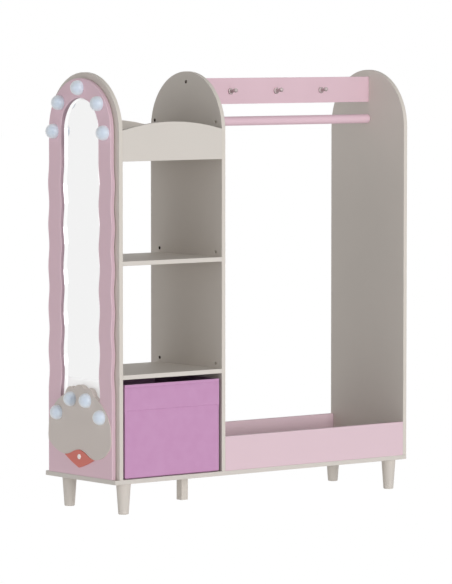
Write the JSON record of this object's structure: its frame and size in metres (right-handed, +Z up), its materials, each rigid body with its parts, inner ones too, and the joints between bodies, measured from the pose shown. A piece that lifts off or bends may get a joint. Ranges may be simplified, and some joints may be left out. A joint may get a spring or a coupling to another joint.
{
  "type": "dress up storage unit with mirror",
  "caption": "Child's dressing-up storage unit: shelf bay with fabric bin, hanging bay with rail, hooks and tray, and a wavy arched mirror frame with bulbs and shell on one end.",
  "frame": {"origin": "on the floor, at the middle of the unit's overall box", "axes": "+X to the right seen from the front, +Y to the back, +Z up; the mirror is on the left end and faces -X"},
  "size_m": [1.0394, 0.313, 1.167],
  "materials": {
    "beige_board": "satin lacquered board",
    "pink_board": "satin lacquered board",
    "frame_pink": "satin lacquered board",
    "mirror": "silvered sheet",
    "shell_beige": "satin lacquered board",
    "coral": "satin lacquered board",
    "pearl": "pearly",
    "bulb_plastic": "frosted pale blue",
    "hook_metal": "satin grey brown",
    "lilac_fabric": "non-woven fabric over card",
    "bin_card": "stiff board",
    "zinc": "zinc plated",
    "birch": "bare"
  },
  "bodies": {
    "unit": {"base_panel": "beige_board", "left_side_panel": "beige_board", "divider_panel": "beige_board", "right_side_panel": "beige_board", "upper_shelf": "beige_board", "lower_shelf": "beige_board", "gallery_shelf": "beige_board", "front_gallery_rail": "beige_board", "back_gallery_rail": "beige_board", "hook_board": "pink_board", "clothes_rail": "pink_board", "tray_front_board": "pink_board", "tray_back_board": "pink_board", "mirror_frame": "frame_pink", "mirror_backing": "beige_board", "mirror_sheet": "mirror", "shell_panel": "shell_beige", "shell_diamond": "coral", "shell_pearl": "pearl", "frame_bulb_top": "bulb_plastic", "frame_bulb_upper_front": "bulb_plastic", "frame_bulb_upper_back": "bulb_plastic", "frame_bulb_lower_front": "bulb_plastic", "frame_bulb_lower_back": "bulb_plastic", "shell_bulb_upper_front": "bulb_plastic", "shell_bulb_upper_back": "bulb_plastic", "shell_bulb_lower_front": "bulb_plastic", "shell_bulb_lower_back": "bulb_plastic", "coat_hook_left": "hook_metal", "coat_hook_middle": "hook_metal", "coat_hook_right": "hook_metal", "foot_front_left": "beige_board", "foot_front_right": "beige_board", "foot_back_left": "beige_board", "foot_back_right": "beige_board", "middle_leg": "beige_board", "cam_locks": "zinc", "cam_bolts": "zinc", "dowels": "birch", "base_screws": "zinc", "mirror_screws": "zinc", "hook_screws": "zinc", "foot_bolts": "zinc"},
    "bin": {"storage_bin": "lilac_fabric", "bin_base_board": "bin_card"}
  },
  "joints": [
    {"name": "bin_slide", "type": "slide", "parent": "unit", "child": "bin", "axis": [0, -1, 0], "range_m": [0, 0.283]}
  ]
}
